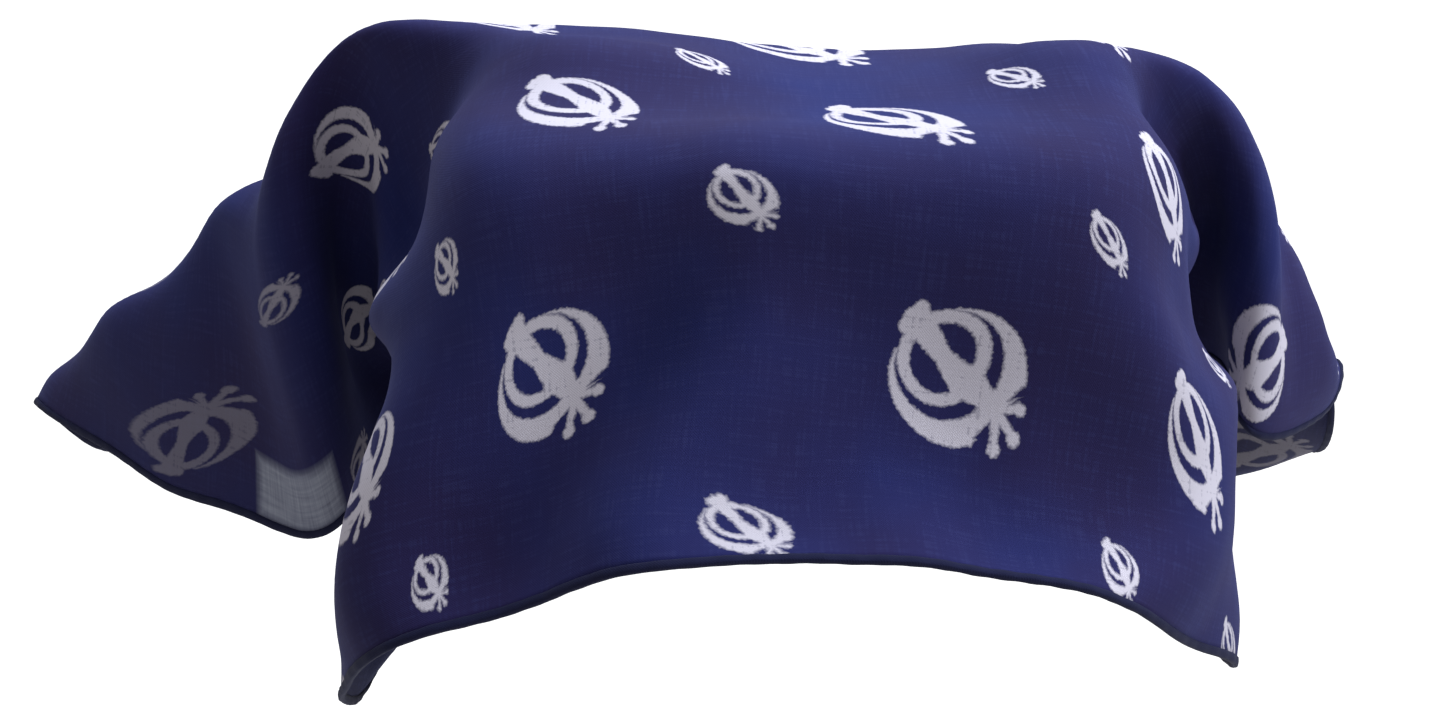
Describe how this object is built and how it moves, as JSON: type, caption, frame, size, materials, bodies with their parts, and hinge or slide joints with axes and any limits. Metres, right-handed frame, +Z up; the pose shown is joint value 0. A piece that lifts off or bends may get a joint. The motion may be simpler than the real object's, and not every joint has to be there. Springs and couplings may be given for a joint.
{
  "type": "rumal head wrap",
  "caption": "Square printed cotton kerchief with turned hems, draped over the crown of a head, with side folds and corners hanging free.",
  "frame": {"origin": "underside of the cloth over the middle of the crown, where the head carries it", "axes": "+Z up, -Y towards the front panel, +X towards the wearer's left, which is the right of the picture"},
  "size_m": [0.5027, 0.4169, 0.2267],
  "materials": {
    "printed_cotton": "matte plain weave, navy with a white block print",
    "hem_cotton": "matte turned and stitched hem, navy"
  },
  "bodies": {
    "root": {"cloth": "printed_cotton", "hem_front": "hem_cotton", "hem_back": "hem_cotton", "hem_left": "hem_cotton", "hem_right": "hem_cotton"}
  },
  "joints": []
}
